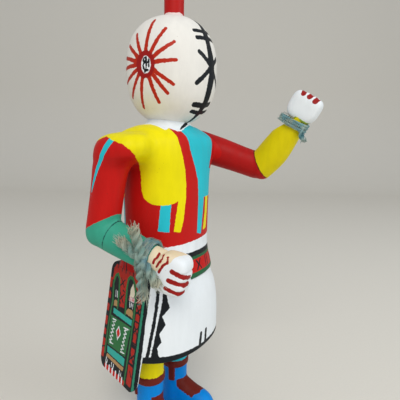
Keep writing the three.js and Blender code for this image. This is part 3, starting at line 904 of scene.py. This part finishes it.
# Middle and half size of each cross.
SASH_CROSSES = [
    (27.6, 100, 2.7), (28.2, 109.6, 2.2), (6.3, 86.4, 2.6), (7, 69, 2.2), (6, 98.2, 2.2), (43.8, 92.6, 1.4),
    (43.8, 84.2, 1.3), (43.8, 75, 1.3), (43.6, 100.8, 1.4),
]
SASH_TICKS = [
    [(37.2, 120.4), (36.8, 117.4)], [(31.5, 120.4), (31, 116.8)], [(26.3, 120.4), (26, 116.6)],
    [(21.5, 120.4), (21.2, 117.2)], [(16.6, 120.4), (17, 116.4)], [(4, 78.4), (8.8, 78)],
    [(4, 76.2), (8.8, 76)], [(24.4, 104.4), (27, 104.9)], [(28, 96.2), (30.4, 96.8)],
    [(5, 103), (8.4, 101.8)], [(5, 58), (7, 60.4)], [(41.6, 62), (45, 60.4)],
]
REAR_ARCH = [
    (38.2, 92), (39.2, 100), (40.1, 106), (38.6, 111.4), (35.6, 113.4), (33, 110.6), (31.8, 104),
    (31.2, 92),
]
FRONT_ARCH = [
    (20.5, 91.6), (21.6, 100), (22.5, 108.8), (22, 113.4), (19.8, 115.6), (16.4, 115.2), (13.6, 112.4),
    (12, 108.6), (10.9, 103.2), (10.2, 91.6),
]
GREEN_LINES = [[(38.8, 94), (40.2, 80), (40.4, 58)], [(10.2, 98), (10.6, 80), (12, 50)]]
GREEN_PANEL = [(38.3, 84.9), (11.8, 85.8), (14.4, 66.2), (38.1, 64.9)]
SASH_BLUE = [
    [(35.9, 90.5), (12, 90.5), (11.8, 87), (35.9, 87)],
    [(37.7, 63.7), (14.5, 65), (14.6, 59.9), (37.4, 59.7)],
]
SASH_TAN = [
    [(20.2, 92), (19.6, 94.6), (18, 96), (13, 96.4), (11.9, 95.2), (11.8, 91.8)],
    [(36.4, 91.8), (36.4, 95), (34.6, 96.4), (32.6, 96), (31.8, 92.6)],
    [(37.2, 58.9), (14.7, 59), (15.2, 56.4), (38, 56.6)],
]
FEATHER = [(15.6, 112.6), (13.4, 109.5), (12.4, 107), (12.6, 104.4), (17.7, 103.8), (17.8, 108.5)]
SASH_WHITES = [
    [(17, 100.7), (16.3, 97.6)], [(13.1, 100.7), (12.9, 97.6)], [(15, 100.4), (14.7, 98.2)],
    [(35.8, 102.4), (35.1, 98.2)], [(33.8, 102.2), (33.1, 98)], [(20.5, 82.8), (14, 83.7)],
    [(20.5, 66.9), (15.8, 67.7)], [(35.3, 83.2), (30.5, 83.8)], [(35.6, 67), (31, 67.6)],
    [(37.6, 52.6), (37.2, 56)], [(35.9, 52.8), (35.6, 55)], [(29.8, 52.8), (29.6, 55.6)],
    [(27.4, 52.6), (27, 55.8)], [(18.9, 52.6), (18.8, 55)], [(16.8, 52.6), (16.9, 54.8)],
]
FRINGE = (36.6, 32, 27.6, 23.2, 18.8, 14.8)


def sash_layers(points):
    u, z, out = sash_chart(points).T
    chart = np.stack([u, z], axis=1)
    outer_face = np.where(out > -1.2, -50, 50)

    def on(shapes):
        return np.maximum(all_of(shapes), outer_face)

    crosses = [
        stroke(chart, [(x - r, y - t * r), (x + r, y + t * r)], 0.5)
        for x, y, r in SASH_CROSSES for t in (-1, 1)
    ]
    crosses += [stroke(chart, line, 0.5) for line in SASH_TICKS]
    arches = [REAR_ARCH, FRONT_ARCH]
    greens = [stroke(chart, line, 1) for line in arches]
    greens += [stroke(chart, line, 0.8) for line in GREEN_LINES]
    whites = [stroke(chart, line, 0.36) for line in SASH_WHITES]
    for left, right in ((15.9, 18.9), (31.4, 34.8)):
        wave = [((left, right)[k % 2] + 0.15 * k, 82.6 - 1.27 * k) for k in range(13)]
        whites.append(stroke(chart, wave, 0.32))
    diamond = (np.abs(u - 26.2) / 2.7 + np.abs(z - 77) / 4 - 1) * 2.2
    stripes = [stroke(chart, [(at, 101.7), (at + 0.1, 103.6)], 0.42) for at in (12.7, 14.4, 16.1, 17.7)]
    fringe = [stroke(chart, [(at, 47), (at + 0.2, 52.4)], 0.75) for at in FRINGE]
    front_edge = np.where(u < 1, np.abs(out + 5) - 2.5, 50)
    return [
        (SASH_RED, on([patch(chart, SASH_TOP), *[block(chart, *red) for red in SASH_REDS]])),
        (BLACK, on(crosses + [patch(chart, arch) for arch in arches])),
        (SASH_GREEN, on([*greens, patch(chart, GREEN_PANEL)])),
        (SASH_EDGE, on([block(chart, 0.7, 2.9, 50, 108)])),
        (TAN, on([patch(chart, outline) for outline in SASH_TAN])),
        (SASH_TURQUOISE, on([patch(chart, outline) for outline in SASH_BLUE])),
        (FRINGE_RED, on([block(chart, 12, 38.6, 47, 51.8)])),
        (WHITE, on([*whites, *fringe, np.abs(diamond) - 0.45, block(chart, 11.9, 18.3, 101.2, 104)])),
        (FRINGE_RED, on([diamond + 0.4, *stripes])),
        (FEATHER_CREAM, on([patch(chart, FEATHER)])),
        (WHITE, front_edge),
    ]


# ---- legs


def leg_shape(side, cuff):
    """One leg, its cuff, moccasin and the loose end of the cuff's tie."""
    x = side * LEG["spread"]
    rows = [[3, 9.2], [cuff - 2.6, 9.4], [cuff - 2.2, 10.4], [cuff + 2, 10.5], [cuff + 2.5, 9.5], [68, 9.6]]
    shaft = skin([level_ring(x, LEG["y"], z, r, r, 2, 72) for z, r in dense(rows, 0.7, [0, 1])])
    t, sole, sections = np.linspace(0, math.pi, 41), 1.4, []
    for y, top, half in dense(FOOT, 0.8, [0, 1, 2]):
        across, up = x + half * power(np.cos(t), 2.2), sole + (top - sole) * np.sin(t)
        upper = np.stack([across, np.full(len(t), y), up], axis=1)
        sections.append(np.vstack([upper, [[x - half + 0.7, y, 0], [x + half - 0.7, y, 0]]]))
    turn = math.radians(FLAP["turn"][side])
    out = np.array([math.cos(turn), -math.sin(turn), 0])
    middle = np.array([x, LEG["y"], cuff - FLAP["length"] / 2]) + out * (LEG["radius"] + 0.3)
    flap = box_shape(middle, (FLAP["width"] / 2, FLAP["length"] / 2, FLAP["thickness"]), out)
    return [shaft, skin(sections), flap]


def legs():
    shape = fuse(sum((leg_shape(side, cuff) for side, cuff in CUFF.items()), []), 0.6)
    z = shape[0][:, 2]
    on_foot = np.clip((27 - z) / 4, 0, 1) * np.clip((z - 1.5) / 3, 0, 1)
    points, faces = relax(shape, 0.1 + 0.5 * on_foot, 6)
    points[:, 2] = np.maximum(points[:, 2], 0)
    x, y, z = points.T
    right = x < 0

    def each(of_right, of_left):
        return np.where(right, of_right, of_left)

    cuff = each(CUFF[-1], CUFF[1])
    turn = np.radians(each(FLAP["turn"][-1], FLAP["turn"][1]))
    x = x - each(-LEG["spread"], LEG["spread"])
    outline = [(-7, 2), (-7, -17), (-3, -21.5), (4, -21.5), (7.6, -17), (7.6, 2)]
    instep = np.maximum(patch(np.stack([x, y], axis=1), outline), z - each(29, 23.5))
    beside = x * np.sin(turn) + (y - LEG["y"]) * np.cos(turn)
    outside = x * np.cos(turn) - (y - LEG["y"]) * np.sin(turn)
    tie = np.maximum.reduce([np.abs(beside) - 2.5, 4 - outside, band(z, cuff - FLAP["length"] - 0.4, cuff)])
    layers = [
        (YELLOW, each(cuff - z, 50)),
        (TURQUOISE, each(50, cuff - z)),
        (BROWN_RED, all_of([band(z, cuff - 2.7, cuff + 2.7), instep, tie])),
    ]
    painted("figure_legs", (points, faces), "body", BLUE, layers)


# ---- chest, shoulders and arms


def hand_axes(arm):
    """The hand's own directions: along it, across its fingers and through it."""
    distal = unit(arm["hand"][1])
    thick, _ = square_to(distal)
    return np.stack([distal, np.cross(thick, distal), thick])


def hand_frame(points, arm):
    return (points - arm["hand"][0]) @ hand_axes(arm).T


def fist(arm):
    """A fist with a groove between each two fingers, wrapped over its far end."""
    at, size = np.array(arm["hand"][0], float), np.array(arm["hand"][2], float)
    axes = hand_axes(arm)
    boxy, taper = 4, 0.26
    turn = 2 * math.pi * np.arange(90) / 90
    rings = []
    for lift in np.radians(np.linspace(-89, 89, 60)):
        spread = power(math.cos(lift), boxy)
        narrow = 1 - taper * max(0, -math.sin(lift))
        local = np.stack([
            np.full(len(turn), power(math.sin(lift), boxy)),
            narrow * spread * power(np.cos(turn), boxy),
            spread * power(np.sin(turn), boxy),
        ], axis=1)
        rings.append(local * size @ axes + at)
    points, faces = relax(fuse([skin(rings)], 0.42), 0.5, 5)
    local = hand_frame(points, arm)
    for gap in arm["gaps"]:
        away = np.abs(local[:, 1] - gap)
        near_end = np.clip((local[:, 0] - size[0] + 6) / 4, 0, 1)
        depth = near_end * arm["groove"] * np.exp(-(away / 0.9) ** 2)
        local = local - depth[:, None] * np.sign(local) * np.array([1, 0, 1]) * 0.7
    return local @ axes + at, faces, local


def seam(arm):
    """Where the two lengths of an arm are glued: a point, and the direction on into the forearm."""
    at, normal = arm["seam"]
    return np.array(at, float), unit(normal)


def parted(shape, arm):
    """The upper length of an arm, and its forearm."""
    at, normal = seam(arm)
    beyond = box_shape(at + normal * 45, (30, 21, 45), normal)
    return [largest(carve(shape, beyond, keep)) for keep in ("DIFFERENCE", "INTERSECT")]


def crack(points, arm):
    """Distance to the thin crack where the two lengths of an arm meet."""
    at, normal = seam(arm)
    return np.abs((points - at) @ normal) - 0.3 - ripple(points, 7, 0.25)


def bodywork():
    """Chest and both arms are rounded into each other, then parted where the pieces are glued."""
    chest = skin([
        level_ring(0, y, z, half, deep, boxy, 280) for z, half, deep, y, boxy in dense(CHEST, 0.7, [0, 1])
    ])
    # Above the waist the sides bend in gently to stay within the shoulder faces.
    high = chest[0][:, 2] > 160
    x, bend = chest[0][high, 0], 3
    limit = SHOULDER["face"] + 1 - bend
    over = np.maximum(np.abs(x) - limit, 0)
    chest[0][high, 0] = np.sign(x) * (np.minimum(np.abs(x), limit) + bend * np.tanh(over / bend))
    upper = skin([
        level_ring(x, y, z, half, deep, boxy, 80)
        for z, x, y, half, deep, boxy in dense(RIGHT_UPPER, 0.8, [0, 1, 3])
    ])
    cap = ball(*[np.array(value, float) for value in LEFT_ARM["cap"]], 80, 60, 2.5)
    parts = [chest, upper, limb(RIGHT_ARM["lower"]), cap, limb(LEFT_ARM["upper"]), limb(LEFT_ARM["lower"])]
    whole = fuse(parts, 0.68)
    points = whole[0]
    joint = np.exp(-((np.abs(points[:, 0]) - SHOULDER["face"]) / 6) ** 2)
    joint *= (points[:, 2] > 176) * (points[:, 2] < 208)
    whole = relax(whole, 0.25 + 0.35 * joint, 14)
    x, y, z = whole[0].T
    hollow = np.exp(-((x + 29) / 8) ** 2 - ((z - 195) / 11) ** 2) * np.clip((-y - 2) / 6, 0, 1)
    whole = relax(whole, 0.7 * hollow, 220)
    middle, arms = whole, []
    for side in (-1, 1):
        beside = box_shape((side * (SHOULDER["face"] + 60), 0, SHOULDER["lowest"] + 100), (60, 150, 100))
        middle = carve(middle, beside, "DIFFERENCE")
        arms.append(largest(carve(whole, beside, "INTERSECT")))
    middle = behind_sash(largest(middle))
    painted("figure_chest", middle, "body", RED, chest_layers(middle[0]), wear=0.8)
    right_arm(arms[0])
    left_arm(arms[1])


def right_arm(shape):
    upper, lower = parted(shape, RIGHT_ARM)
    x, y, z = upper[0].T
    elbow = np.interp(y, [2, 6, 10.7, 19, 24], [159, 156.6, 154.3, 150, 148.5])
    stripe = np.interp(z, [169.6, 175.6, 186, 195.2, 201.5], [14.4, 12.7, 8.2, 2.3, -1.5])
    half = np.interp(z, [169.6, 175.6, 186, 201.5], [0, 0.8, 1.2, 2.4])
    inked = np.where(x < -46, np.abs(y - stripe) - half, 50)
    layers = [
        (TURQUOISE, np.maximum(inked, 169 - z)),
        (YELLOW, yoke(upper[0], -1)),
        (SEA_GREEN, z - elbow),
        (SEA_GREEN_CRACK, np.maximum(crack(upper[0], RIGHT_ARM), z - 162)),
    ]
    painted("right_upper_arm_carving", upper, "right_upper_arm", RED, layers)
    local = hand_frame(lower[0], RIGHT_ARM)
    # A cream patch lies on top of the hand near the wrist, and the forearm's end takes it too.
    cream_top, lines = right_hand_paint(local)
    beyond = -12.6 - local[:, 0]
    painted("right_forearm_carving", lower, "right_forearm", SEA_GREEN, [
        (SEA_GREEN_CRACK, crack(lower[0], RIGHT_ARM)),
        (WHITE, beyond),
        (HAND_CREAM, np.maximum(cream_top, beyond)),
        (DEEP_RED, np.maximum(lines, beyond)),
    ])
    points, faces, local = fist(RIGHT_ARM)
    cream_top, lines = right_hand_paint(local)
    painted("right_hand", (points, faces), "right_forearm", WHITE, [
        (HAND_CREAM, cream_top), (DEEP_RED, lines),
    ], wear=0.5)


def right_hand_paint(local):
    """A cream patch on top near the wrist, and the painted lines."""
    distal, wide, thick = local.T
    edge = np.interp(distal, [-14, -7.2, -2.5, 1.6, 5.7, 8.9], [3, -0.5, -4.6, -9.1, -10, -8.5])
    cream_top = np.maximum.reduce([wide - edge, thick - 4, distal - 4.5 - 0.4 * thick])
    return cream_top, all_of([stroke(local, line, half) for line, half in RIGHT_HAND_LINES])


# Painted lines of the right hand, along it, across it and through it, with their half widths: the gaps
# between the fingers, then three wavy lines near the wrist.
RIGHT_HAND_LINES = [
    ([(3, -4.4, -8), (6.5, -3.4, -7.6), (9.5, -2.2, -5.5), (10, -0.4, 1)], 1.3),
    ([(1.9, 1.2, -8), (5.7, 1.5, -7.8), (9.8, 2.8, -4), (10.2, 3, 0)], 1.35),
    ([(0.6, 6.3, -8), (4.8, 7, -7.6), (8, 7.7, -6), (9.8, 7.4, -2)], 1.25),
    ([(-7.9, -10.4, -3.6), (-7.6, -8.4, -5.6), (-8.6, -7.4, -6.6), (-8.9, -5.4, -7.4)], 0.75),
    ([(-4.4, -10.4, -4.8), (-3.8, -8.8, -6.4), (-5.4, -6.8, -7.6), (-6.6, -4, -7.8)], 0.8),
    ([(-1.2, -10.2, -5.8), (-0.6, -8, -7.2), (-2.6, -6, -8), (-3.6, -4, -8), (-4.6, -1.6, -8)], 0.8),
]
# The left hand's: short marks over the knuckles.
LEFT_HAND_LINES = [
    ([(8, -3.7, -7), (9.4, -4.5, -4.8), (10, -4.5, -3)], 1.75),
    ([(8, 0.9, -7), (9.2, 1.2, -5), (10, 1.2, -3)], 1.85),
    ([(7, 5.8, -7), (8.4, 6, -5.6), (9.6, 6, -3.4)], 1.75),
]


def left_arm(shape):
    upper, lower = parted(shape, LEFT_ARM)
    painted("left_upper_arm_carving", upper, "left_upper_arm", LEFT_ARM_RED, [
        (RED_CRACK, crack(upper[0], LEFT_ARM)),
    ])
    painted("left_forearm_carving", lower, "left_forearm", LEFT_ARM_YELLOW, [
        (YELLOW_CRACK, crack(lower[0], LEFT_ARM)),
    ])
    points, faces, local = fist(LEFT_ARM)
    painted("left_hand", (points, faces), "left_forearm", WHITE, [
        (DEEP_RED, all_of([stroke(local, line, half) for line, half in LEFT_HAND_LINES])),
        (YELLOW_SMEAR, np.maximum(local[:, 0] + 7.2, -local[:, 1] - 1)),
    ], wear=0.4)


# ---- peg


def peg():
    seat, crown, (x, y) = PEG["crown"] - PEG["seat"], PEG["crown"], PEG["at"]
    top, radius = crown + PEG["height"], PEG["radius"]
    profile = [
        (seat, 0.5), (seat + 0.1, radius),
        (top - 1.4, radius), (top - 0.6, 5.9), (top - 0.2, 5.1), (top, 3),
    ]
    shape = skin([level_ring(x, y, z, r, r, 2, 96) for z, r in dense(profile, 0.5, [0, 1])])
    bare_foot = shape[0][:, 2] - crown - 1 - ripple(shape[0], 8, 2.2)
    painted("peg", shape, "red_topknot", PEG_RED, [(PEG_FOOT, bare_foot)])


# ---- yarn


def yarn_material(name, colours):
    """Wool in three tones; the fourth colour is that of the frayed ends."""
    n = Nodes(name)
    first, second, third, tip = map(linear, colours)
    colour = n.mix(n.ramp(n.noise(170, 2.0), 0.42, 0.58), first, second)
    colour = n.mix(n.ramp(n.noise(90, 2.0), 0.48, 0.66), colour, third)
    frayed = n.add("ShaderNodeAttribute", attribute_name="frayed")["Fac"]
    n.set(n.shader.inputs["Base Color"], n.mix(frayed, colour, tip))
    n.set(n.shader.inputs["Roughness"], 0.95)
    n.set(n.shader.inputs["Specular IOR Level"], 0.1)
    return n.material


def tube(line, radius, sides=6):
    line = np.asarray(line, float)
    radius = np.broadcast_to(np.asarray(radius, float), len(line))
    tangent = unit(np.gradient(line, axis=0))
    first = unit(np.cross(tangent, [0.31, 0.52, 0.79]))
    second = np.cross(tangent, first)
    a = 2 * math.pi * np.arange(sides) / sides
    ring = np.cos(a)[None, :, None] * first[:, None] + np.sin(a)[None, :, None] * second[:, None]
    return skin(line[:, None] + ring * radius[:, None, None])


def bundle(centre, ply, first, second):
    """Two plies of fine strands twisted round a centre line, opening toward a frayed tip.

    Gives a list of (shape, share); the share is 0 at the start and 1 at the tip.
    """
    offset, radius, count = ply
    t = np.linspace(0, 1, len(centre))
    length = np.linalg.norm(np.diff(centre, axis=0), axis=1).sum()
    fray = np.clip((t - 0.6) / 0.4, 0, 1)
    pieces = []
    for half in range(2):
        turn = 2 * math.pi * length * t / 10 + half * math.pi
        for k in range(count):
            around = 2 * math.pi * k / count + t * 5
            wide = radius * (1 + fray * rng.uniform(-0.5, 1.9)) * rng.uniform(0.85, 1.08)
            x = offset * np.cos(turn) + wide * np.cos(around)
            y = offset * np.sin(turn) + wide * np.sin(around)
            stop = len(t) - rng.integers(0, len(t) // 5)
            line = (centre + np.outer(x, first) + np.outer(y, second))[:stop]
            share = np.append(np.repeat(fray[:stop] ** 0.7, 5), [0, 1])
            pieces.append((tube(line, (0.34 - 0.2 * fray)[:stop], 5), share))
    return pieces


def yarn(name, arm, ties, node, material):
    """A tie of twisted wool: turns round the wrist, a knot, and frayed ends of loose fibres."""
    wrist, knot = np.array(arm["wrist"], float), np.array(ties["knot"], float)
    axis = unit(arm["hand"][1])
    first, second = square_to(axis)
    across, deep = np.array(arm["lower"][3][3:]) + 0.4
    turns, low, high = ties["turns"]
    on_turns, on_ends = ties["fuzz"]
    size = ties["ply"][0] + ties["ply"][1]

    def coil(a, out, shift):
        """A line round the wrist, `out` from the skin and `shift` along the arm."""
        x, y = np.cos(a) * (across + out), np.sin(a) * (deep + out)
        return wrist + np.outer(shift, axis) + np.outer(x, first) + np.outer(y, second)

    pieces = []
    a = np.linspace(0, 2 * math.pi * turns, 110 * turns)
    for ply in range(3):
        twist = a * 10 + ply * 2 * math.pi / 3
        shift = np.linspace(low, high, len(a)) + 0.5 * np.cos(twist) + 0.4 * np.sin(a * 0.7 + 1)
        pieces.append((tube(coil(a, 1.1 + 0.5 * np.sin(twist), shift), 0.62), 0))
    for _ in range(on_turns):
        k = rng.integers(len(a) - 16)
        run = a[k:k + 16:3]
        lift = np.linspace(0, rng.uniform(0.3, 1.6), len(run))
        hair = coil(run, 1.5 + lift, rng.uniform(low, high) + lift * rng.uniform(-1, 1))
        pieces.append((tube(hair, 0.11, 3), rng.uniform(0, 0.5)))
    turn = np.linspace(0, 2 * math.pi, 30)
    for k in range(4):
        loop = [0.7 * np.sin(2 * turn), size * np.cos(turn + 0.8 * k), size * np.sin(turn)]
        pieces.append((tube(knot + np.stack(loop, axis=1) * (0.6 + 0.12 * k), 0.75), 0))
    t = np.linspace(0, 1, 34)
    for tip in ties["ends"]:
        reach = np.array(tip, float) - knot
        along = unit(reach)
        beside = unit(np.cross(along, [1.0, 0, 0]))
        bow = np.sin(math.pi * t) * rng.uniform(-1.2, 1.2)
        centre = knot + np.outer(t, reach) + np.outer(bow, beside)
        pieces += bundle(centre, ties["ply"], beside, np.cross(along, beside))
        for _ in range(on_ends):
            start = rng.uniform(0, 0.86)
            s = np.linspace(0, rng.uniform(0.08, 0.24), 5)
            away = unit(rng.normal(size=3)) * size
            lift = 0.6 + 0.5 * start + rng.uniform(0.5, 3) * s
            hair = knot + np.outer(start + s, reach) + np.outer(lift, away)
            pieces.append((tube(hair, 0.1, 3), rng.uniform(0.3, 1) * start))
    piece = make_piece(name, stack([shape for shape, _ in pieces]), node, material)
    shares = [np.broadcast_to(np.asarray(share, float), len(shape[0])) for shape, share in pieces]
    vertex_values(piece, "frayed", np.concatenate(shares))


# ---- studio

CAMERA = {"at": (-208, -141.2, 198.8), "heading": 28.83, "down": 8.31, "roll": 0.86, "lens": 33.12}


def camera():
    data = bpy.data.cameras.new("camera")
    data.lens = CAMERA["lens"]
    data.sensor_width = 36
    data.clip_start, data.clip_end = 0.01, 20
    thing = in_scene("camera", data)
    heading, down, roll = (math.radians(CAMERA[key]) for key in ("heading", "down", "roll"))
    level = Vector((math.cos(heading), math.sin(heading), 0))
    right = level.cross(Vector((0, 0, 1)))
    forward = level * math.cos(down) - Vector((0, 0, 1)) * math.sin(down)
    up = right.cross(forward)
    side = right * math.cos(roll) + up * math.sin(roll)
    top = up * math.cos(roll) - right * math.sin(roll)
    turn = Matrix((side, top, -forward)).transposed()
    thing.matrix_world = Matrix.Translation(place(CAMERA["at"])) @ turn.to_4x4()
    bpy.context.scene.camera = thing


def softbox(name, at, size, watts, colour):
    data = bpy.data.lights.new(name, "AREA")
    data.shape = "DISK"
    data.size = size
    data.energy = watts
    data.color = colour
    lamp = in_scene(name, data)
    lamp.location = at
    lamp.rotation_euler = (Vector((0, 0, 0.16)) - Vector(at)).to_track_quat("-Z", "Y").to_euler()


def floor():
    """Pale paper on the ground, curving up behind the figure."""
    reach, wall, radius, height = 1.6, 1.3, 0.5, 2.2
    bend = np.linspace(0, math.pi / 2, 14)
    curve = [(wall + radius * math.sin(b), radius - radius * math.cos(b)) for b in bend]
    profile = [(-reach, 0), *curve, (wall + radius, height)]
    heading = math.radians(CAMERA["heading"])
    along = np.array([math.cos(heading), math.sin(heading), 0])
    across = np.array([-along[1], along[0], 0])
    points = [along * d + across * w + [0, 0, h] for d, h in profile for w in (-3, 3)]
    faces = [[2 * k, 2 * k + 1, 2 * k + 3, 2 * k + 2] for k in range(len(profile) - 1)]
    mesh = smooth_mesh("floor", points, faces)
    n = Nodes("floor_paper")
    grain = n.ramp(n.noise(500), 0.3, 0.7, 0.98, 1.0)
    tone = n.add("ShaderNodeCombineXYZ", {0: grain, 1: grain, 2: grain})[0]
    n.set(n.shader.inputs["Base Color"], n.mix(1.0, linear(PAPER), tone, "MULTIPLY"))
    n.set(n.shader.inputs["Roughness"], 0.6)
    mesh.materials.append(n.material)
    in_scene("floor", mesh)


def studio():
    world = bpy.data.worlds.new("studio")
    bpy.context.scene.world = world
    world.use_nodes = True
    colour, strength = world.node_tree.nodes["Background"].inputs[:2]
    colour.default_value = (0.9, 0.94, 1, 1)
    strength.default_value = 0.55
    softbox("key", (-0.9, -0.5, 1.1), 0.9, 9.8, (1, 0.98, 0.95))
    softbox("side", (0.2, -1.2, 0.7), 0.8, 5, (0.86, 0.94, 1))
    floor()
    bpy.context.scene.view_settings.view_transform = "Standard"


camera()
studio()
head()
bodywork()
kilt()
sash()
legs()
peg()
right_wool = yarn_material("right_wool", RIGHT_WOOL)
left_wool = yarn_material("left_wool", LEFT_WOOL)
yarn("right_wrist_wool", RIGHT_ARM, RIGHT_YARN, "right_wrist_yarn", right_wool)
yarn("left_wrist_wool", LEFT_ARM, LEFT_YARN, "left_wrist_yarn", left_wool)
